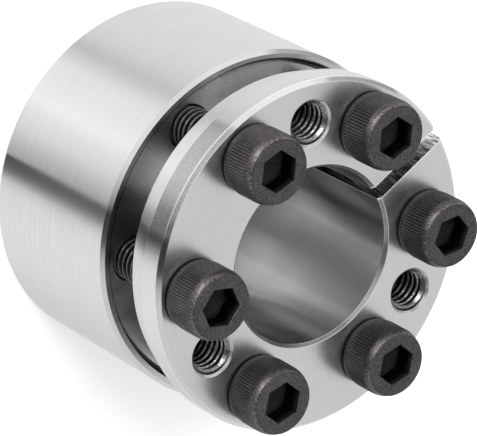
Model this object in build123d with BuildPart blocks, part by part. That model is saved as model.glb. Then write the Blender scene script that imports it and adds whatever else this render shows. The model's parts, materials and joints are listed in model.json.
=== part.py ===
from build123d import *
from math import radians, tan
import os

os.makedirs("parts", exist_ok=True)

# Shaft locking assembly: a slit inner ring with a flange and a taper sleeve, drawn by six socket
# head cap screws into a slit outer ring, so that it grips the shaft inside and the hub outside.
# Millimetres. +Z runs along the shaft, from the rear end up to the flange and the screw heads.
# The origin is the centre of the rear face of the outer ring, on which the assembly stands.

# Outer ring.
shaft_diameter = 25.0
hub_diameter = 50.0
outer_ring_length = 26.0
outer_ring_bevel = 0.5
rim_width = 0.8
recess_depth = 1.3
recess_wall_run = 0.7
slit_width = 2.0
# Inner ring: taper sleeve and flange.
taper_half_angle = 3.0
sleeve_end_wall = 1.0
sleeve_end_height = 2.0
bore_chamfer = 0.45
gap_as_delivered = 5.2
flange_thickness = 7.9
flange_rear_bevel_run = 1.4
flange_rear_bevel_length = 4.1
flange_front_chamfer = 0.6
# Screw pattern: the clamping screws every 60 degrees, the slit and three jacking holes between.
screw_circle_offset = 0.35
screw_count = 6
# Clamping screws, M6 with a coarse thread.
thread_diameter = 6.0
screw_length = 25.0
screw_end_chamfer = 0.6
head_diameter = 9.8
head_height = 6.0
head_front_chamfer = 0.5
socket_across_flats = 5.0
socket_depth = 3.0
jack_countersink_width = 0.3
# Clearances between mating pieces. Threads are left plain: a tapped hole is a plain hole that
# clears the crests of its screw, a clamping screw with more room than a jacking screw.
taper_clearance = 0.1
clamp_thread_clearance = 0.25
jack_thread_clearance = 0.05
flange_hole_clearance = 0.3

# Sizes that follow from the ones above.
shaft_radius = shaft_diameter / 2
hub_radius = hub_diameter / 2
thread_radius = thread_diameter / 2
head_radius = head_diameter / 2
flange_rear_height = outer_ring_length + gap_as_delivered
flange_front_height = flange_rear_height + flange_thickness
recess_floor_height = outer_ring_length - recess_depth
recess_mouth_radius = hub_radius - outer_ring_bevel - rim_width
screw_circle_radius = (shaft_radius + hub_radius) / 2 + screw_circle_offset
screw_spacing = 360 / screw_count
tapped_hole_radius = thread_radius + clamp_thread_clearance
jack_hole_radius = thread_radius + jack_thread_clearance
flange_hole_radius = thread_radius + flange_hole_clearance


def sleeve_radius(height):
    """Outside of the taper sleeve: shaft radius + end wall + height above its end * tan(angle)."""
    taper_rise = (height - sleeve_end_height) * tan(radians(taper_half_angle))
    return shaft_radius + sleeve_end_wall + taper_rise


def taper_bore_radius(height):
    """Taper bore of the outer ring: the sleeve's radius at that height + the taper clearance."""
    return sleeve_radius(height) + taper_clearance


# Outer ring: bored to the taper, turned outside, and faced back in front inside its rim.
with BuildPart() as outer_ring:
    with BuildSketch(Plane.XZ):
        with BuildLine():
            Polyline(
                (taper_bore_radius(0), 0),
                (hub_radius - outer_ring_bevel, 0),
                (hub_radius, outer_ring_bevel),
                (hub_radius, outer_ring_length - outer_ring_bevel),
                (hub_radius - outer_ring_bevel, outer_ring_length),
                (recess_mouth_radius, outer_ring_length),
                (recess_mouth_radius - recess_wall_run, recess_floor_height),
                (taper_bore_radius(recess_floor_height), recess_floor_height),
                close=True,
            )
        make_face()
    revolve(axis=Axis.Z)
    # Six holes, tapped right through.
    with BuildSketch(Plane.XY):
        with PolarLocations(screw_circle_radius, screw_count, start_angle=screw_spacing / 2):
            Circle(tapped_hole_radius)
    extrude(amount=outer_ring_length, mode=Mode.SUBTRACT)
    # Slit through the wall on the +X side.
    with BuildSketch(Plane.XY):
        with Locations((hub_radius, 0)):
            Rectangle(2 * hub_radius, slit_width)
    extrude(amount=outer_ring_length, mode=Mode.SUBTRACT)

outer_ring.part.label = "outer_ring"
export_step(outer_ring.part, "parts/outer_ring.step")

# Inner ring: taper sleeve and flange turned in one piece, the flange bevelled behind.
with BuildPart() as inner_ring:
    with BuildSketch(Plane.XZ):
        with BuildLine():
            Polyline(
                (shaft_radius, sleeve_end_height),
                (sleeve_radius(sleeve_end_height), sleeve_end_height),
                (sleeve_radius(flange_rear_height), flange_rear_height),
                (hub_radius - flange_rear_bevel_run, flange_rear_height),
                (hub_radius, flange_rear_height + flange_rear_bevel_length),
                (hub_radius, flange_front_height - flange_front_chamfer),
                (hub_radius - flange_front_chamfer, flange_front_height),
                (shaft_radius + bore_chamfer, flange_front_height),
                (shaft_radius, flange_front_height - bore_chamfer),
                close=True,
            )
        make_face()
    revolve(axis=Axis.Z)
    # Six clearance holes.
    with BuildSketch(Plane.XY.offset(flange_front_height)):
        with PolarLocations(screw_circle_radius, screw_count, start_angle=screw_spacing / 2):
            Circle(flange_hole_radius)
    extrude(amount=-flange_thickness, mode=Mode.SUBTRACT)
    # Three tapped jacking holes, countersunk in front.
    with BuildSketch(Plane.XY.offset(flange_front_height)):
        with PolarLocations(screw_circle_radius, screw_count // 2, start_angle=screw_spacing):
            Circle(jack_hole_radius)
    extrude(amount=-flange_thickness, mode=Mode.SUBTRACT)
    with BuildSketch(Plane.XY.offset(flange_front_height)):
        with PolarLocations(screw_circle_radius, screw_count // 2, start_angle=screw_spacing):
            Circle(jack_hole_radius + jack_countersink_width)
    extrude(amount=-jack_countersink_width, taper=45, mode=Mode.SUBTRACT)
    # Slit through sleeve and flange on the +X side.
    with BuildSketch(Plane.XY.offset(sleeve_end_height)):
        with Locations((hub_radius, 0)):
            Rectangle(2 * hub_radius, slit_width)
    extrude(amount=flange_front_height - sleeve_end_height, mode=Mode.SUBTRACT)

inner_ring.part.label = "inner_ring"
export_step(inner_ring.part, "parts/inner_ring.step")

# Clamping screws, numbered clockwise seen from the front, the first a place and a half before
# the slit. Each socket came to rest at its own angle when its screw was tightened.
socket_angles = [52.0, 53.5, 36.8, 46.0, 46.1, 21.3]

for screw_number, socket_angle in enumerate(socket_angles, start=1):
    with BuildPart() as clamp_screw:
        # Shank below the seat at height zero, head above it.
        with BuildSketch(Plane.XZ):
            with BuildLine():
                Polyline(
                    (0, -screw_length),
                    (thread_radius - screw_end_chamfer, -screw_length),
                    (thread_radius, -screw_length + screw_end_chamfer),
                    (thread_radius, 0),
                    (head_radius, 0),
                    (head_radius, head_height - head_front_chamfer),
                    (head_radius - head_front_chamfer, head_height),
                    (0, head_height),
                    close=True,
                )
            make_face()
        revolve(axis=Axis.Z)
        # Hexagon socket.
        with BuildSketch(Plane.XY.offset(head_height)):
            RegularPolygon(
                socket_across_flats / 2, 6, major_radius=False, rotation=socket_angle
            )
        extrude(amount=-socket_depth, mode=Mode.SUBTRACT)
    seat_angle = (2.5 - screw_number) * screw_spacing
    seat = Plane.XY.offset(flange_front_height).location * PolarLocations(
        screw_circle_radius, 1, start_angle=seat_angle, rotate=False
    ).locations[0]
    placed_screw = clamp_screw.part.moved(seat)
    placed_screw.label = f"clamp_screw_{screw_number}"
    export_step(placed_screw, f"parts/{placed_screw.label}.step")
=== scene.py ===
import json
from math import cos, pi, radians, sin

import bpy
import numpy as np
from mathutils import Matrix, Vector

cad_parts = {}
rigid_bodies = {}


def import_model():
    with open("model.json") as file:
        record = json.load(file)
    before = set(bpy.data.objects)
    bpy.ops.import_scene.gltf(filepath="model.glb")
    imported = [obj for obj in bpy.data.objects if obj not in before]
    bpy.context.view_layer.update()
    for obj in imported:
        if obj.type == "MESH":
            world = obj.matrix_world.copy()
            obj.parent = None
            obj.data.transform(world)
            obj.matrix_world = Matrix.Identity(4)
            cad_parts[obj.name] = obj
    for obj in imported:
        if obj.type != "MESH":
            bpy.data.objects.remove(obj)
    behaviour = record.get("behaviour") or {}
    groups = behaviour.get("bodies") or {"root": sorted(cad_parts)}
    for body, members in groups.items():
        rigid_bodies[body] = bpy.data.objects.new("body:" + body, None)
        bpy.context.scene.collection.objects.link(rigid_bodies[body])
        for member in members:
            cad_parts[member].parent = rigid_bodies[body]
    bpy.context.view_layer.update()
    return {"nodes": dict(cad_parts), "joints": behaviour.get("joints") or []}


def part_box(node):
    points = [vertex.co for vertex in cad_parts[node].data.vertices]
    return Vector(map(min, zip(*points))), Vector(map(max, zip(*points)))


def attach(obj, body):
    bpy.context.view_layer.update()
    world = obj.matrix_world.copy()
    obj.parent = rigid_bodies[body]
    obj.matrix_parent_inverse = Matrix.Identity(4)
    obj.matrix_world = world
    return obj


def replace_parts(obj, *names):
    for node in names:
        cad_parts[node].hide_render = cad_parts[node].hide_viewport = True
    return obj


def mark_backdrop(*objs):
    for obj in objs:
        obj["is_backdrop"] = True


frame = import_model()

# Outer ring: carbon steel, turned all over and faced back inside its rim, with one slit sawn
# through. Its rings of tool marks and its bright, slightly oily skin are the look of the whole part.
MM = 0.001
ring_low, ring_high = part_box("outer_ring")
ring_radius = ring_high.y
slit_width = 2.0 * MM
recess_floor_height = ring_high.z - 1.3 * MM


def linear(hex_colour):
    """An sRGB hex colour as linear red, green and blue, with an alpha of 1."""
    srgb = np.array([int(hex_colour[place:place + 2], 16) for place in (1, 3, 5)]) / 255
    low, high = srgb / 12.92, ((srgb + 0.055) / 1.055) ** 2.4
    return (*np.where(srgb <= 0.04045, low, high).tolist(), 1.0)


def add_node(tree, kind, inputs=None, **settings):
    """Adds a node with its settings. Each input, by name or number, is linked or set."""
    made = tree.nodes.new(kind)
    for name, value in settings.items():
        setattr(made, name, value)
    for socket, value in (inputs or {}).items():
        if isinstance(value, bpy.types.NodeSocket):
            tree.links.new(value, made.inputs[socket])
        else:
            made.inputs[socket].default_value = value
    return made


def new_material(name):
    """An empty material: its node tree and its output node."""
    material = bpy.data.materials.new(name)
    material.use_nodes = True
    material.node_tree.nodes.clear()
    return material, material.node_tree, add_node(material.node_tree, "ShaderNodeOutputMaterial")


def band(tree, value, low, high, soft):
    """1 where the value lies between low and high, fading to 0 over a soft width at each end."""
    rise = add_node(
        tree, "ShaderNodeMapRange",
        {"Value": value, "From Min": low - soft, "From Max": low + soft},
        interpolation_type="SMOOTHSTEP",
    )
    fall = add_node(
        tree, "ShaderNodeMapRange",
        {"Value": value, "From Min": high - soft, "From Max": high + soft,
         "To Min": 1.0, "To Max": 0.0},
        interpolation_type="SMOOTHSTEP",
    )
    return maths(tree, "MULTIPLY", rise.outputs[0], fall.outputs[0])


def maths(tree, operation, *values):
    """The output of a math node for these values."""
    return add_node(
        tree, "ShaderNodeMath", dict(enumerate(values)), operation=operation
    ).outputs[0]


def turned_steel(name, mark_contrast, face_heights, zones, lean=None):
    """Bright turned steel, whose tool marks run round the axis.

    The marks are noise that changes fast along the height and the radius and slowly round the
    axis. On the sides, which are all but the faces across the axis at the given heights, they
    are finer, and stretch what the steel mirrors along the axis. Each zone is (tone, satin,
    radii, heights, bearings, soft degrees), with its limits as pairs: there the colour is darker,
    or lighter, by that tone, and the steel scatters that share of the light evenly. Many zones
    paint shade, highlights or mirrored bands into the colour. Where the marks lean, given as
    (heights, inner radius, slope), the surface shines as if it were turned up by it.
    """
    mark_spacing = 0.2 * MM  # real feed marks of 0.1 mm are too fine to show
    streaks_round = 3.0
    material, tree, output = new_material(name)
    place = add_node(tree, "ShaderNodeTexCoord").outputs["Object"]
    x, y, height = add_node(tree, "ShaderNodeSeparateXYZ", {0: place}).outputs
    flat = add_node(tree, "ShaderNodeCombineXYZ", {0: x, 1: y}).outputs[0]
    radius = add_node(tree, "ShaderNodeVectorMath", {0: flat}, operation="LENGTH").outputs["Value"]
    bearing = maths(tree, "ARCTAN2", y, x)
    outward = add_node(tree, "ShaderNodeVectorMath", {0: flat}, operation="NORMALIZE").outputs[0]
    slow = add_node(
        tree, "ShaderNodeVectorMath", {0: outward, "Scale": streaks_round}, operation="SCALE"
    ).outputs[0]
    lift = add_node(
        tree, "ShaderNodeCombineXYZ", {2: maths(tree, "DIVIDE", height, mark_spacing)}
    ).outputs[0]
    along = add_node(
        tree, "ShaderNodeVectorMath", {0: slow, 1: lift}, operation="ADD"
    ).outputs[0]
    marks = add_node(
        tree, "ShaderNodeTexNoise",
        {"Vector": along, "W": maths(tree, "DIVIDE", radius, mark_spacing), "Scale": 1.0,
         "Detail": 3.0},
        noise_dimensions="4D",
    ).outputs[0]
    cloud = add_node(
        tree, "ShaderNodeTexNoise", {"Vector": place, "Scale": 1 / (5 * MM), "Detail": 4.0}
    ).outputs[0]
    grain = add_node(
        tree, "ShaderNodeTexNoise", {"Vector": place, "Scale": 1 / (0.22 * MM), "Detail": 2.0}
    ).outputs[0]
    tone = add_node(
        tree, "ShaderNodeMapRange",
        {"Value": marks, "From Min": 0.3, "From Max": 0.7, "To Min": 1 - mark_contrast,
         "To Max": 1.0},
    ).outputs[0]
    metallic = 1.0
    for zone_tone, satin, radii, heights, bearings, soft in zones:
        inside = band(tree, radius, *radii, 0.02 * MM)
        inside = maths(tree, "MULTIPLY", inside, band(tree, height, *heights, 0.02 * MM))
        if bearings:
            sector = band(tree, bearing, *np.radians(bearings).tolist(), radians(soft))
            inside = maths(tree, "MULTIPLY", inside, sector)
        grit = 0.12 if zone_tone < 0.8 else 0.03  # darker zones look grainier than bright metal
        speckle = add_node(
            tree, "ShaderNodeMapRange",
            {"Value": grain, "From Min": 0.35, "From Max": 0.65, "To Min": zone_tone * (1 - grit),
             "To Max": zone_tone * (1 + grit)},
        ).outputs[0]
        shade = add_node(
            tree, "ShaderNodeMix", {0: inside, 2: 1.0, 3: speckle}, data_type="FLOAT"
        ).outputs[0]
        tone = maths(tree, "MULTIPLY", tone, shade)
        if satin:
            metallic = maths(tree, "SUBTRACT", metallic, maths(tree, "MULTIPLY", inside, satin))
    # Slit walls: sawn faces on both sides of the slit, dark between the lines of the saw and lighter
    # towards the outside of the ring, with a burr along the edges that is painted brighter than the
    # steel, partly burr and partly painted highlight.
    near_slit = maths(tree, "GREATER_THAN", x, 0.0)
    burr_reach, saw_reach = 1.22 * slit_width / 2, 1.02 * slit_width / 2
    burr = maths(tree, "MULTIPLY", near_slit, maths(tree, "COMPARE", y, 0.0, burr_reach))
    # Painted highlight: the burr is painted up to a fifth brighter than the steel.
    burr_and_highlight_tone = add_node(
        tree, "ShaderNodeMapRange",
        {"Value": grain, "From Min": 0.4, "From Max": 0.6, "To Min": 0.85, "To Max": 1.2},
    ).outputs[0]
    tone = add_node(
        tree, "ShaderNodeMix", {0: burr, 2: tone, 3: burr_and_highlight_tone}, data_type="FLOAT"
    ).outputs[0]
    sawn = maths(tree, "MULTIPLY", maths(tree, "COMPARE", y, 0.0, saw_reach), near_slit)
    # The burr is ragged, so a third of its light is scattered.
    dull_burr = maths(tree, "MULTIPLY", maths(tree, "SUBTRACT", burr, sawn), 0.35)
    metallic = maths(tree, "SUBTRACT", metallic, dull_burr)
    saw_place = add_node(
        tree, "ShaderNodeVectorMath", {0: place, 1: (1 / (0.16 * MM), 0.0, 1 / (2.5 * MM))},
        operation="MULTIPLY",
    ).outputs[0]
    saw_lines = add_node(
        tree, "ShaderNodeTexNoise", {"Vector": saw_place, "Scale": 1.0, "Detail": 1.0}
    ).outputs[0]
    saw_tone = add_node(
        tree, "ShaderNodeMapRange",
        {"Value": saw_lines, "From Min": 0.42, "From Max": 0.6, "To Min": 0.15, "To Max": 0.95},
    ).outputs[0]
    # The sawn faces are lighter towards the outside of the ring.
    outer_end_lift = add_node(
        tree, "ShaderNodeMapRange",
        {"Value": x, "From Min": ring_radius - 2.4 * MM, "From Max": ring_radius - 1.2 * MM,
         "To Min": 1.0, "To Max": 1.5},
    ).outputs[0]
    saw_tone = maths(tree, "MULTIPLY", saw_tone, outer_end_lift)
    tone = add_node(
        tree, "ShaderNodeMix", {0: sawn, 2: tone, 3: saw_tone}, data_type="FLOAT"
    ).outputs[0]
    colour = add_node(
        tree, "ShaderNodeVectorMath", {0: linear("#e9e8e9")[:3], "Scale": tone}, operation="SCALE"
    ).outputs[0]
    side = 1.0
    for face_height in face_heights:
        on_face = maths(tree, "COMPARE", height, face_height, 0.005 * MM)
        side = maths(tree, "SUBTRACT", side, on_face)
    face_roughness = add_node(
        tree, "ShaderNodeMapRange",
        {"Value": cloud, "From Min": 0.3, "From Max": 0.7, "To Min": 0.25, "To Max": 0.31},
    ).outputs[0]
    finer = maths(tree, "SUBTRACT", 1.0, maths(tree, "MULTIPLY", side, 0.35))
    roughness = maths(tree, "MULTIPLY", face_roughness, finer)
    bump = add_node(
        tree, "ShaderNodeBump",
        {"Height": marks, "Strength": 3 * mark_contrast, "Distance": 0.005 * MM},
    ).outputs[0]
    if lean:
        (low, high), inner_radius, slope = lean
        ramp = add_node(
            tree, "ShaderNodeMapRange",
            {"Value": height, "From Min": low, "From Max": high, "To Min": slope * (high - low),
             "To Max": 0.0},
        ).outputs[0]
        ramp = maths(tree, "MULTIPLY", ramp, maths(tree, "GREATER_THAN", radius, inner_radius))
        bump = add_node(
            tree, "ShaderNodeBump", {"Height": ramp, "Distance": 1.0, "Normal": bump}
        ).outputs[0]
    across = add_node(tree, "ShaderNodeCombineXYZ", {2: 1.0}).outputs[0]
    steel = add_node(
        tree, "ShaderNodeBsdfPrincipled",
        {"Base Color": colour, "Metallic": metallic, "Roughness": roughness, "Normal": bump,
         "Anisotropic": maths(tree, "MULTIPLY", side, 0.96),
         "Tangent": across},
    )
    tree.links.new(steel.outputs[0], output.inputs[0])
    return material


def dress(node_name, material):
    """Gives a CAD node its finish."""
    node = frame["nodes"][node_name]
    node.data.materials.clear()
    node.data.materials.append(material)


# Surfaces of the ring as (radii, heights), each a little wider than the surface itself.
recess_low, rim_top = recess_floor_height - 0.1 * MM, ring_high.z + 0.1 * MM
recess = (14.0 * MM, 23.7 * MM), (recess_low, ring_high.z - 0.1 * MM)
recess_and_rim = (14.0 * MM, 24.5 * MM), (recess_low, rim_top)
rim_corner = (23.46 * MM, 23.8 * MM), (ring_high.z - 0.44 * MM, rim_top)
wide_rim_corner = (23.46 * MM, 23.95 * MM), (ring_high.z - 0.44 * MM, rim_top)
rim_face = (23.7 * MM, 24.5 * MM), (ring_high.z - 0.05 * MM, rim_top)
outer_bevel = (24.45 * MM, 24.99 * MM), (ring_high.z - 0.6 * MM, rim_top)
outer_ring_zones = [
    # The faced recess is painted brighter all round, painted light where little light reaches,
    # painted darker between bearings 122 and 149, painted shade, and satin between 44 and 80.
    (1.15, 0.0, *recess, None, 0),
    (0.4, 0.0, *recess_and_rim, (122, 149), 4),
    (1.0, 0.19, *recess_and_rim, (44, 80), 5),
    # Painted shade: a sharp dark line runs where its wall meets the rim, wider where the rim is seen
    # far off, and the rim face is painted darker beside it.
    (0.12, 0.0, *rim_corner, None, 0),
    (0.2, 0.0, *wide_rim_corner, (26, 66), 8),
    (0.8, 0.0, *rim_face, (40, 82), 5),
    # The outer bevel is darker towards the slit.
    (0.62, 0.0, *outer_bevel, (24, 52), 4),
]
outer_ring_faces = (ring_low.z, recess_floor_height, ring_high.z)
outer_ring_steel = turned_steel(
    "turned_carbon_steel_outer_ring", 0.08, outer_ring_faces, outer_ring_zones
)
dress("outer_ring", outer_ring_steel)

# Inner ring: the same steel, flange and taper sleeve turned in one piece, with the slit sawn
# right through so that the sleeve can close on the shaft.
sleeve_low, flange_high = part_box("inner_ring")
flange_rear_height = flange_high.z - 7.9 * MM
rim_low, rim_high = 35.3 * MM, 38.5 * MM
rim = (24.9 * MM, 25.1 * MM), (rim_low, rim_high)
rear_bevel = (23.5 * MM, 24.98 * MM), (flange_rear_height, rim_low)
front_bevel = (24.35 * MM, 25.0 * MM), (38.6 * MM, 39.05 * MM)
front_corner = (24.8 * MM, 25.1 * MM), (38.4 * MM, 38.6 * MM)
countersinks = (15.5 * MM, 22.6 * MM), (38.75 * MM, 39.07 * MM)
bore_bevel = (12.52 * MM, 13.1 * MM), (38.6 * MM, 39.05 * MM)
bore_wall = (12.4 * MM, 12.6 * MM), (sleeve_low.z, 38.65 * MM)
inner_ring_zones = [
    # The rim is darker on its upper left, and so are the bevels beside it.
    (0.6, 0.0, *rim, (90, 132), 1.5),
    (0.6, 0.0, *rim, (119, 132), 4),
    (0.62, 0.0, *rear_bevel, (124, 137), 3),
    (0.62, 0.0, *front_bevel, (90, 127), 1.5),
    (0.7, 0.0, *front_bevel, (124, 142), 1.5),
    # The front bevel is darker towards the slit and painted brighter between, a painted highlight,
    # and its corner is painted as a fine bright line, a painted highlight.
    (0.6, 0.0, *front_bevel, (24, 53), 2),
    (1.08, 0.0, *front_bevel, (58, 89), 2),
    (1.18, 0.0, *front_corner, None, 0),
    (0.95, 0.0, *rear_bevel, None, 0),
    # The countersinks of the jacking holes are cut rough, so they stay grey.
    (0.65, 0.3, *countersinks, (8, 185), 1),
    (0.65, 0.3, *countersinks, (-185, -8), 1),
    # The bore: its front bevel is dull and is painted darker in two sectors, and the wall is painted
    # darker beside the slit and below, painted shade, and lighter in two narrow bands, painted
    # reflections.
    (0.46, 0.25, *bore_bevel, None, 0),
    (0.58, 0.0, *bore_bevel, (-174, -92), 5),
    (0.7, 0.0, *bore_bevel, (-42, 10), 5),
    (0.54, 0.0, *bore_wall, (-27, 32), 3),
    (1.18, 0.0, *bore_wall, (-44, -30), 3),
    (0.4, 0.0, *bore_wall, (-172, -117), 6),
    (0.6, 0.0, *bore_wall, (-148, -113), 6),
    (1.18, 0.0, *bore_wall, (-104, -86), 3),
]
inner_ring_faces = (sleeve_low.z, flange_rear_height, flange_high.z)
# The feed marks on the bevel behind the flange lean, so it mirrors almost as an upright side does.
leaning_marks = ((flange_rear_height, rim_low), 23.5 * MM, 0.33)
inner_ring_steel = turned_steel(
    "turned_carbon_steel_inner_ring", 0.05, inner_ring_faces, inner_ring_zones, leaning_marks
)
dress("inner_ring", inner_ring_steel)

# Tapped holes: right-hand coarse threads cut with a tap, three in the flange for the jacking
# screws and six in the outer ring for the clamping screws. The solids leave them plain.
pitch = 1.0 * MM
thread_major = 3.0 * MM
thread_depth = 0.58 * MM
screw_joints = [j for j in frame["joints"] if j["name"].endswith("_turn")]
screw_places = {j["name"][:-5]: np.array(j["pos_m"]) for j in screw_joints}
seat_height = flange_high.z
circle_radius = float(np.hypot(*screw_places["clamp_screw_1"][:2]))


def ring_grid(radii, heights, centre, start_angle=0.0):
    """Points of a turned surface: each row is a full circle about the vertical line through the
    centre, at the radii and heights given as arrays of rows by columns."""
    columns = radii.shape[1]
    angles = start_angle + np.arange(columns) * 2 * pi / columns
    x = centre[0] + radii * np.cos(angles)
    y = centre[1] + radii * np.sin(angles)
    return np.stack([x, y, heights], axis=-1)


def add_piece(name, shells, body, materials, sharp_degrees):
    """One object from closed shells. Each shell is (points, marks, looped): a grid of rows by
    columns by 3, closed round its columns, whose rows either loop back to the first or end in a
    pole at each end, and one number for each point, which is the second texture axis."""
    vertices, faces, texture = [], [], []
    for points, marks, looped in shells:
        rows, columns = points.shape[:2]
        base = sum(len(part) for part in vertices)
        marks = np.broadcast_to(marks, (rows, columns)).ravel()
        row = np.arange(rows if looped else rows - 1)[:, None]
        column = np.arange(columns)[None, :]
        after, above = (column + 1) % columns, (row + 1) % rows
        corners = np.stack([row * columns + column, row * columns + after,
                            above * columns + after, above * columns + column], -1).reshape(-1, 4)
        turn = np.broadcast_to(
            np.stack([column, column + 1, column + 1, column], -1) / columns,
            (row.size, columns, 4),
        ).reshape(-1, 4)
        vertices.append(points.reshape(-1, 3))
        faces += (base + corners).tolist()
        texture.append(np.stack([turn, marks[corners]], -1).reshape(-1, 2))
        if looped:
            continue
        around = np.arange(columns)
        beyond = (around + 1) % columns
        fan = np.stack([around, around + 1, around + 0.5], -1) / columns
        poles = (base + rows * columns, base + rows * columns + 1)
        vertices.append(np.stack([points[0].mean(axis=0), points[-1].mean(axis=0)]))
        last = (rows - 1) * columns
        bottom = np.stack([base + beyond, base + around, np.full(columns, poles[0])], -1)
        top = np.stack([base + last + around, base + last + beyond, np.full(columns, poles[1])], -1)
        faces += bottom.tolist() + top.tolist()
        for mark in (marks[0], marks[-1]):
            texture.append(np.stack([fan, np.full((columns, 3), mark)], -1).reshape(-1, 2))
    mesh = bpy.data.meshes.new(name)
    mesh.from_pydata(np.concatenate(vertices).tolist(), [], faces)
    mesh.polygons.foreach_set("use_smooth", np.ones(len(mesh.polygons), bool))
    mesh.set_sharp_from_angle(angle=radians(sharp_degrees))
    layer = mesh.uv_layers.new(name="profile")
    layer.data.foreach_set("uv", np.concatenate(texture).astype(np.float32).ravel())
    mesh.materials.append(materials)
    piece = bpy.data.objects.new(name, mesh)
    bpy.context.scene.collection.objects.link(piece)
    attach(piece, body)
    return piece


def thread_radius(angles, heights, crest):
    """Right-hand thread: the radius falls from the crest by the thread depth, along a rounded
    flank, as the distance from the crest line, one pitch up for each turn, grows to half a pitch."""
    turns = heights / pitch - angles / (2 * pi)
    from_crest = 2 * np.abs(turns - np.round(turns))
    flank = np.clip((from_crest - 0.12) / 0.66, 0, 1)
    return crest - thread_depth * flank**2 * (3 - 2 * flank)


def tapped_hole(name, centre, top, bottom, wall_radius, mouth_radius, columns, step, body, material):
    """Thread inside a plain hole: a sleeve whose outside lies against the wall of the hole, and
    whose bore is the thread, its roots where the crests of its screw are, cut back at its mouth
    by a 45-degree countersink."""
    heights = np.linspace(top, bottom, int(round((top - bottom) / step)) + 1)
    heights = np.broadcast_to(heights[:, None], (heights.size, columns))
    angles = np.arange(columns) * 2 * pi / columns
    root = wall_radius - 0.01 * MM
    bore = thread_radius(angles[None, :], heights, root)
    countersink = mouth_radius - (top - heights)
    # The texture axis grows towards the roots of the thread and down the hole, where the colour
    # is painted darker as painted shade, and the countersunk mouth is set to a middle grey.
    depth = 1 - (root - bore) / thread_depth + 0.14 * (top - heights) / pitch
    depth = np.where(countersink > bore, 0.45, depth)
    bore = np.minimum(np.maximum(bore, countersink), root)
    wall = np.full((2, columns), wall_radius - 0.004 * MM)
    wall_heights = np.array([bottom, top])[:, None] * np.ones(columns)
    points = ring_grid(np.concatenate([bore, wall]), np.concatenate([heights, wall_heights]), centre)
    marks = np.concatenate([depth, np.zeros((2, columns))])
    return add_piece(name, [(points, marks, True)], body, material, 40)


def tapped_steel(name):
    """Tapped steel, with painted shade: the crests of the thread are light, and the roots and the
    far end of the hole are painted dark. The second texture axis is 0 on a crest at the mouth and
    grows."""
    material, tree, output = new_material(name)
    place = add_node(tree, "ShaderNodeTexCoord")
    depth = add_node(tree, "ShaderNodeSeparateXYZ", {0: place.outputs["UV"]}).outputs[1]
    grain = add_node(
        tree, "ShaderNodeTexNoise",
        {"Vector": place.outputs["Object"], "Scale": 1 / (0.2 * MM), "Detail": 2.0},
    ).outputs[0]
    # Painted shade: darker towards the roots of the thread and down the hole.
    thread_shade = add_node(
        tree, "ShaderNodeMapRange",
        {"Value": depth, "From Min": 0.25, "From Max": 0.85, "To Min": 0.85, "To Max": 0.04},
    ).outputs[0]
    grit = add_node(
        tree, "ShaderNodeMapRange",
        {"Value": grain, "From Min": 0.4, "From Max": 0.6, "To Min": 0.4, "To Max": 1.0},
    ).outputs[0]
    colour = add_node(
        tree, "ShaderNodeVectorMath",
        {0: linear("#dddbd8")[:3], "Scale": maths(tree, "MULTIPLY", thread_shade, grit)}, operation="SCALE",
    ).outputs[0]
    steel = add_node(
        tree, "ShaderNodeBsdfPrincipled", {"Base Color": colour, "Metallic": 1.0, "Roughness": 0.3}
    )
    tree.links.new(steel.outputs[0], output.inputs[0])
    return material


def on_circle(degrees):
    """A point of the screw circle, at this angle from the slit."""
    return circle_radius * np.array([cos(radians(degrees)), sin(radians(degrees))])


jack_hole_radius = 3.05 * MM
jack_mouth_radius = 3.35 * MM
jack_countersink = jack_mouth_radius - jack_hole_radius
thread_steel = tapped_steel("tapped_carbon_steel")
for number, degrees in enumerate((60, 180, -60), 1):
    tapped_hole(
        f"jack_thread_{number}", on_circle(degrees), seat_height - jack_countersink,
        flange_rear_height, jack_hole_radius, jack_hole_radius, 96, pitch / 16,
        "inner_ring_body", thread_steel,
    )

ring_hole_radius = 3.25 * MM
for name, place in screw_places.items():
    tapped_hole(
        f"ring_thread_{name[-1]}", place[:2], recess_floor_height, ring_low.z,
        ring_hole_radius, ring_hole_radius, 36, pitch / 10, "outer_ring_body", thread_steel,
    )

# Clamping screws: socket head cap screws of alloy steel, cold headed and thread rolled, with
# a straight knurl round the head, black oxide all over and rubbed lighter on the edges.
socket_angles = {
    "clamp_screw_1": 52.0, "clamp_screw_2": 53.5, "clamp_screw_3": 36.8,
    "clamp_screw_4": 46.0, "clamp_screw_5": 46.1, "clamp_screw_6": 21.3,
}
screw_low, screw_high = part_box("clamp_screw_1")
head_radius = (screw_high.x - screw_low.x) / 2
head_height = screw_high.z - seat_height
screw_length = seat_height - screw_low.z
knurl_teeth = 72
knurl_depth = 0.16 * MM
socket_half_width = 2.56 * MM


# Head profile from the bearing face over the rounded edge to the face: radius, height in mm.
head_profile = np.array([
    (3.2, 0.0), (4.45, 0.0), (4.55, 0.04), (4.76, 0.3), (4.78, 0.9), (4.86, 1.1), (4.9, 1.25),
    (4.9, 2.0), (4.9, 2.8), (4.9, 3.6), (4.9, 4.5), (4.87, 4.75), (4.82, 5.0), (4.75, 5.25),
    (4.67, 5.48), (4.58, 5.7), (4.5, 5.86), (4.44, 5.94), (4.39, 5.97), (4.34, 5.92),
    (4.3, 5.92), (4.25, 5.98), (3.6, 6.0), (3.0, 6.0),
])
knurl_rows = (6, 10)
edge_row = 16
profile_lengths = np.append(0, np.cumsum(np.hypot(*np.diff(head_profile, axis=0).T)))
edge_length, face_length = profile_lengths[edge_row], profile_lengths[-1]
knurl_low, knurl_high = profile_lengths[list(knurl_rows)]


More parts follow.
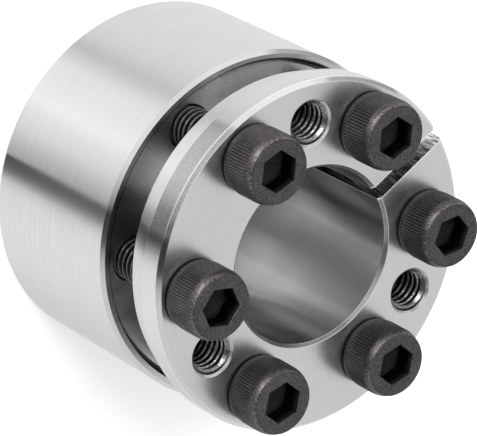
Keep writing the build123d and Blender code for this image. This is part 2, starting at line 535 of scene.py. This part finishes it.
def black_oxide():
    """Black oxide on cold-formed steel: a thin matt black skin with fine grit, in which bare
    metal shows as light specks where the front edge of the head has been knocked, and as fine
    lines on the crests of the thread. Inside the socket, under the head and in the roots of the
    thread the colour is painted almost black, painted shade. The second texture axis is the
    length along the head's profile in mm, or on the thread minus one, less the share of its depth."""
    material, tree, output = new_material("black_oxide_cap_screw")
    place = add_node(tree, "ShaderNodeTexCoord")
    turn, along, _ = add_node(tree, "ShaderNodeSeparateXYZ", {0: place.outputs["UV"]}).outputs
    grit = add_node(
        tree, "ShaderNodeTexNoise",
        {"Vector": place.outputs["Object"], "Scale": 1 / (0.25 * MM), "Detail": 4.0,
         "Roughness": 0.7},
    ).outputs[0]
    stain = add_node(
        tree, "ShaderNodeTexNoise",
        {"Vector": place.outputs["Object"], "Scale": 1 / (2.0 * MM), "Detail": 3.0},
    ).outputs[0]
    specks = add_node(
        tree, "ShaderNodeMapRange",
        {"Value": grit, "From Min": 0.42, "From Max": 0.62, "To Min": 0.0, "To Max": 0.4},
    ).outputs[0]
    edge = band(tree, along, edge_length - 0.4, edge_length + 0.2, 0.15)
    worn = maths(tree, "MULTIPLY", edge, specks)
    rubbed_crest = maths(tree, "MULTIPLY", band(tree, along, -1.06, -0.5, 0.03), 0.6)
    worn = maths(tree, "MAXIMUM", worn, rubbed_crest)
    skin = add_node(
        tree, "ShaderNodeMix",
        {0: stain, 6: linear("#4b4948"), 7: linear("#5f5c5b")}, data_type="RGBA",
    ).outputs[2]
    colour = add_node(
        tree, "ShaderNodeMix", {0: worn, 6: skin, 7: linear("#9a9795")}, data_type="RGBA"
    ).outputs[2]
    mottle = add_node(
        tree, "ShaderNodeMapRange",
        {"Value": grit, "From Min": 0.38, "From Max": 0.62, "To Min": 0.6, "To Max": 1.4},
    ).outputs[0]
    # Painted shade: the colour darkens down the socket, less so on its floor, and in the roots of
    # the thread.
    socket = add_node(
        tree, "ShaderNodeMapRange",
        {"Value": along, "From Min": face_length + 0.45, "From Max": face_length + 1.6,
         "To Min": 1.0, "To Max": 0.12},
    ).outputs[0]
    root = add_node(
        tree, "ShaderNodeMapRange",
        {"Value": along, "From Min": -1.6, "From Max": -1.05, "To Min": 0.08, "To Max": 1.0},
    ).outputs[0]
    socket_floor = add_node(
        tree, "ShaderNodeMapRange",
        {"Value": along, "From Min": face_length + 3.3, "From Max": face_length + 3.9,
         "To Min": 0.0, "To Max": 0.18},
    ).outputs[0]
    socket = maths(tree, "ADD", socket, socket_floor)
    # The knurl is lighter on its ridges, partly rubbed and partly painted highlight, and painted
    # darker in the grooves between them, painted shade.
    ridge = maths(tree, "COSINE", maths(tree, "MULTIPLY", turn, 2 * pi * knurl_teeth))
    knurl = maths(tree, "MULTIPLY", band(tree, along, knurl_low, knurl_high, 0.3), ridge)
    knurl = maths(tree, "MULTIPLY_ADD", knurl, 0.3, 1.05)
    # Painted shade in the corner where the head sits on the flange.
    seat_shade = maths(tree, "MULTIPLY_ADD", band(tree, along, 1.2, 1.75, 0.15), -0.85, 1.0)
    tone = maths(tree, "MULTIPLY", mottle, maths(tree, "MULTIPLY", socket, root))
    tone = maths(tree, "MULTIPLY", tone, maths(tree, "MULTIPLY", knurl, seat_shade))
    colour = add_node(
        tree, "ShaderNodeVectorMath", {0: colour, "Scale": tone}, operation="SCALE"
    ).outputs[0]
    roughness = add_node(
        tree, "ShaderNodeMapRange",
        {"Value": grit, "From Min": 0.3, "From Max": 0.7, "To Min": 0.4, "To Max": 0.55},
    ).outputs[0]
    bump = add_node(
        tree, "ShaderNodeBump", {"Height": grit, "Strength": 0.8, "Distance": 0.02 * MM}
    ).outputs[0]
    skin_shader = add_node(
        tree, "ShaderNodeBsdfPrincipled",
        {"Base Color": colour, "Metallic": 0.9, "Roughness": roughness, "Normal": bump},
    )
    tree.links.new(skin_shader.outputs[0], output.inputs[0])
    return material


def cap_screw(name, place, socket_degrees, material):
    """Socket head cap screw: a rolled thread with a chamfered end, and a knurled head whose
    rows pass from circles on its face to the hexagon of its socket, down to a coned bottom."""
    columns = 4 * knurl_teeth
    angles = np.arange(columns) * 2 * pi / columns
    radii = head_profile[:, 0, None] * MM * np.ones(columns)
    heights = head_profile[:, 1, None] * MM * np.ones(columns)
    knurled = ((head_profile[:, 0] >= 4.86) & (head_profile[:, 1] < 4.8))[:, None]
    radii = radii - knurled * knurl_depth * (0.5 - 0.5 * np.cos(knurl_teeth * angles))
    # The hexagon's flats are centred on the columns at multiples of 60 degrees.
    to_flat = (angles + pi / 6) % (pi / 3) - pi / 6
    hexagon = socket_half_width / np.cos(to_flat)
    cone = socket_half_width * np.ones(columns)
    socket_radii = np.stack([hexagon * 1.02, hexagon, hexagon, hexagon, 0.85 * cone, 0.2 * cone])
    socket_levels = np.array([0.0, 0.07, 1.5, 3.0, 3.25, 3.9])[:, None] * MM
    radii = np.concatenate([radii, socket_radii])
    heights = np.concatenate([heights, head_height - socket_levels * np.ones(columns)])
    head = ring_grid(radii, seat_height + heights, place, radians(socket_degrees + 30))
    run = np.hypot(np.diff(radii[:, 0]), np.diff(heights[:, 0])) / MM
    run[:len(profile_lengths) - 1] = np.diff(profile_lengths)
    head_marks = np.append(0, np.cumsum(run))[:, None]

    columns = 48
    angles = np.arange(columns) * 2 * pi / columns
    tip, inside_head = -screw_length, 0.4 * MM
    level_count = int(round((inside_head - tip) / (pitch / 14)))
    levels = np.linspace(tip, inside_head, level_count)
    levels = levels[:, None] * np.ones(columns)
    crest = thread_major - 0.02 * MM
    shank = thread_radius(angles[None, :], seat_height + levels, crest)
    thread_marks = -1 - (crest - shank) / thread_depth
    end_chamfer = 2.35 * MM + (levels - tip)
    neck = np.where(levels > -1.2 * MM, 2.65 * MM, thread_major)
    shank = np.minimum(np.minimum(shank, end_chamfer), neck)
    thread = ring_grid(shank, seat_height + levels, place)
    shells = [(thread, thread_marks, False), (head, head_marks, False)]
    piece = add_piece("cap_" + name[6:], shells, name + "_body", material, 32)
    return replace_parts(piece, name)


black_oxide_finish = black_oxide()
for name, place in screw_places.items():
    cap_screw(name, place, socket_angles[name], black_oxide_finish)

# Studio: the part stands on a white table, lit from below as far as metal mirrors it, inside
# a white tent with one dark gap beside the camera.
camera_azimuth = 113.73
# Light level by bearing round the part, in degrees from the slit: on the table, and in the tent.
# The dark flag stands at 145 to 165 degrees.
table_light = [
    (-34, 0.93), (34, 0.88), (46, 0.84), (54, 0.78), (62, 0.65), (71, 0.82), (78, 0.98),
    (96, 1.06), (106, 1.13), (116, 0.98), (126, 0.87), (136, 0.64), (145.5, 0.47), (146.2, 0.09),
    (151, 0.13), (155, 0.19), (158.5, 0.4), (162, 0.71), (168, 0.88), (186, 0.93), (210, 0.9),
    (234, 0.8), (258, 0.74),
]
tent_light = [
    (-66, 0.72), (-35, 0.61), (-15, 0.53), (-3, 0.77), (9, 0.87), (20, 1.0), (45, 1.0),
    (60, 0.9), (76, 0.87), (94, 0.96), (114, 0.9), (124, 0.69), (134, 0.49), (142, 0.25),
    (144, 0.03), (163, 0.05), (167, 0.3), (174, 0.6), (184, 0.72), (256, 0.72),
]


def light_level(stops, bearing):
    """Level at a bearing, in a straight line from one stop to the next and round again."""
    bearings, levels = zip(*stops)
    return np.interp(bearing, bearings, levels, period=360)


def mirror_card():
    """The lit table as the side of the ring mirrors it: from each point of the ring's foot a
    straight line runs outwards on the table in the direction that this camera sees mirrored
    there, so a brightness set along the line shows as an upright band on the ring."""
    foot = np.radians(np.linspace(camera_azimuth - 88, camera_azimuth + 88, 353))
    reach = np.linspace(0, 90 * MM, 7)[:, None]
    bearing = 2 * foot - radians(camera_azimuth)
    x = ring_radius * np.cos(foot) + reach * np.cos(bearing)
    y = ring_radius * np.sin(foot) + reach * np.sin(bearing)
    points = np.stack([x, y, np.full(x.shape, 0.05 * MM)], axis=-1)
    rows, columns = x.shape
    row, column = np.arange(rows - 1)[:, None], np.arange(columns - 1)[None, :]
    corners = [row * columns + column, row * columns + column + 1,
               (row + 1) * columns + column + 1, (row + 1) * columns + column]
    mesh = bpy.data.meshes.new("mirror_card")
    mesh.from_pydata(points.reshape(-1, 3).tolist(), [],
                     np.stack(corners, axis=-1).reshape(-1, 4).tolist())
    level = mesh.attributes.new("level", "FLOAT", "POINT")
    levels = np.broadcast_to(light_level(table_light, np.degrees(bearing)), x.shape)
    level.data.foreach_set("value", levels.astype(np.float32).ravel())
    material, tree, output = new_material("lit_table_as_mirrored")
    level_node = add_node(tree, "ShaderNodeAttribute", attribute_name="level")
    glow = add_node(tree, "ShaderNodeEmission", {"Strength": level_node.outputs["Fac"]})
    tree.links.new(glow.outputs[0], output.inputs[0])
    mesh.materials.append(material)
    card = bpy.data.objects.new("mirror_card", mesh)
    bpy.context.scene.collection.objects.link(card)
    card.visible_camera = card.visible_diffuse = card.visible_shadow = False
    card.visible_transmission = card.visible_volume_scatter = False
    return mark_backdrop(card)


bore_light = [
    (-165, 0.44), (-138, 0.16), (-90, 0.11), (-30, 0.22), (-8, 0.47), (6, 0.52), (30, 0.52),
    (54, 0.56), (78, 0.34), (102, 0.25), (126, 0.19), (150, 0.16), (166, 0.27),
]


def bearing_ramp(tree, bearing, stops):
    """Colour ramp that gives the light level at a bearing in radians."""
    share = add_node(
        tree, "ShaderNodeMapRange",
        {"Value": bearing, "From Min": -pi, "From Max": pi, "To Min": 0.0, "To Max": 1.0},
    ).outputs[0]
    ramp = add_node(tree, "ShaderNodeValToRGB", {0: share})
    elements = ramp.color_ramp.elements
    elements.remove(elements[1])
    turned = sorted((stop + 180) % 360 for stop, _ in stops)
    for number, position in enumerate([0.0, *turned, 360.0]):
        element = elements[0] if number == 0 else elements.new(position / 360)
        element.position = position / 360
        level = float(light_level(stops, position - 180))
        element.color = (level, level, level, 1.0)
    return ramp.outputs[0]


def white_table():
    """Plain white floor: a flat sheet that keeps the part's soft shadow and that metal mirrors
    as white, darker under the part where the bore looks through."""
    half = 2.0
    open_level = (0.85, 0.85, 0.85, 1.0)
    mesh = bpy.data.meshes.new("table")
    mesh.from_pydata([(-half, -half, 0), (half, -half, 0), (half, half, 0), (-half, half, 0)],
                     [], [(0, 1, 2, 3)])
    material, tree, output = new_material("white_table")
    path = add_node(tree, "ShaderNodeLightPath")
    paper = add_node(tree, "ShaderNodeBsdfDiffuse", {"Color": linear("#ffffff")})
    lift = add_node(tree, "ShaderNodeEmission", {"Strength": 0.25})
    seen = add_node(tree, "ShaderNodeAddShader", {0: paper.outputs[0], 1: lift.outputs[0]})
    shown = add_node(
        tree, "ShaderNodeMixShader",
        {0: path.outputs["Is Camera Ray"], 1: paper.outputs[0], 2: seen.outputs[0]},
    )
    place = add_node(tree, "ShaderNodeTexCoord").outputs["Object"]
    away = add_node(tree, "ShaderNodeVectorMath", {0: place}, operation="LENGTH").outputs["Value"]
    x, y, _ = add_node(tree, "ShaderNodeSeparateXYZ", {0: place}).outputs
    under_bore = bearing_ramp(tree, maths(tree, "ARCTAN2", y, x), bore_light)
    outside = add_node(
        tree, "ShaderNodeMapRange", {"Value": away, "From Min": 13 * MM, "From Max": 14 * MM}
    ).outputs[0]
    level = add_node(
        tree, "ShaderNodeMix", {0: outside, 6: under_bore, 7: open_level}, data_type="RGBA"
    ).outputs[2]
    glow = add_node(tree, "ShaderNodeEmission", {"Color": level})
    surface = add_node(
        tree, "ShaderNodeMixShader",
        {0: path.outputs["Is Glossy Ray"], 1: shown.outputs[0], 2: glow.outputs[0]},
    )
    tree.links.new(surface.outputs[0], output.inputs[0])
    mesh.materials.append(material)
    table = bpy.data.objects.new("table", mesh)
    bpy.context.scene.collection.objects.link(table)
    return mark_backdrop(table)


def white_tent():
    """World: white to the camera, and for everything else a tent whose brightness follows the
    same bearings as the table, through a colour ramp."""
    world = bpy.data.worlds.new("white_tent")
    bpy.context.scene.world = world
    world.use_nodes = True
    tree = world.node_tree
    tree.nodes.clear()
    output = add_node(tree, "ShaderNodeOutputWorld")
    direction = add_node(tree, "ShaderNodeTexCoord").outputs["Generated"]
    split = add_node(tree, "ShaderNodeSeparateXYZ", {0: direction})
    bearing = maths(tree, "ARCTAN2", split.outputs[1], split.outputs[0])
    level = bearing_ramp(tree, bearing, tent_light)
    path = add_node(tree, "ShaderNodeLightPath")
    tent = add_node(tree, "ShaderNodeBackground", {"Color": level})
    backdrop = add_node(tree, "ShaderNodeBackground", {"Color": linear("#ffffff")})
    surface = add_node(
        tree, "ShaderNodeMixShader",
        {0: path.outputs["Is Camera Ray"], 1: tent.outputs[0], 2: backdrop.outputs[0]},
    )
    tree.links.new(surface.outputs[0], output.inputs[0])


def soft_box(name, bearing, elevation, distance, size, watts):
    """A square area light aimed at the part, from this bearing and height in degrees."""
    lamp = bpy.data.lights.new(name, "AREA")
    lamp.size, lamp.energy = size, watts
    box = bpy.data.objects.new(name, lamp)
    bearing, elevation = radians(bearing), radians(elevation)
    back = np.array([cos(elevation) * cos(bearing), cos(elevation) * sin(bearing), sin(elevation)])
    centre = np.array([0, 0, 0.025])
    right = np.array([-sin(bearing), cos(bearing), 0])
    up = np.cross(back, right)
    rows = np.column_stack([right, up, back, centre + distance * back])
    box.matrix_world = Matrix([*rows.tolist(), [0, 0, 0, 1]])
    box.visible_camera = box.visible_glossy = False
    bpy.context.scene.collection.objects.link(box)
    return box


white_table()
mirror_card()
white_tent()
soft_box("key_soft_box", 80, 55, 0.6, 0.3, 3.0)
# Two more that only reflections show, masked off from the rings: one puts a glint on the
# screws, the other in the threads of the jacking holes.
for lit, elevation, size, watts in (("cap_screw", 14, 0.16, 1.6), ("jack_thread", 42, 0.3, 1.6)):
    glint_box = soft_box(f"{lit}_glint", 97, elevation, 0.6, size, watts)
    glint_box.visible_glossy, glint_box.visible_diffuse = True, False
    lit_pieces = bpy.data.collections.new(f"{lit}_pieces")
    for piece in bpy.data.objects:
        if piece.name.startswith(lit):
            lit_pieces.objects.link(piece)
    glint_box.light_linking.receiver_collection = lit_pieces

# Camera: placed as the photograph's was, from edges measured in it, with a long lens.
lens_data = bpy.data.cameras.new("camera")
lens_data.sensor_width = 36.0
lens_data.lens = 257.86
lens_data.shift_x, lens_data.shift_y = -0.0023, 0.0053
lens_data.clip_start = 0.01
camera = bpy.data.objects.new("camera", lens_data)
camera.matrix_world = Matrix((
    (0.694331, 0.669314, -0.264429, -0.1240803),
    (-0.422695, 0.676671, 0.602864, 0.2823153),
    (0.582437, -0.306815, 0.752749, 0.3752466),
    (0, 0, 0, 1),
))
bpy.context.scene.collection.objects.link(camera)
bpy.context.scene.camera = camera
bpy.context.scene.view_settings.view_transform = "Standard"
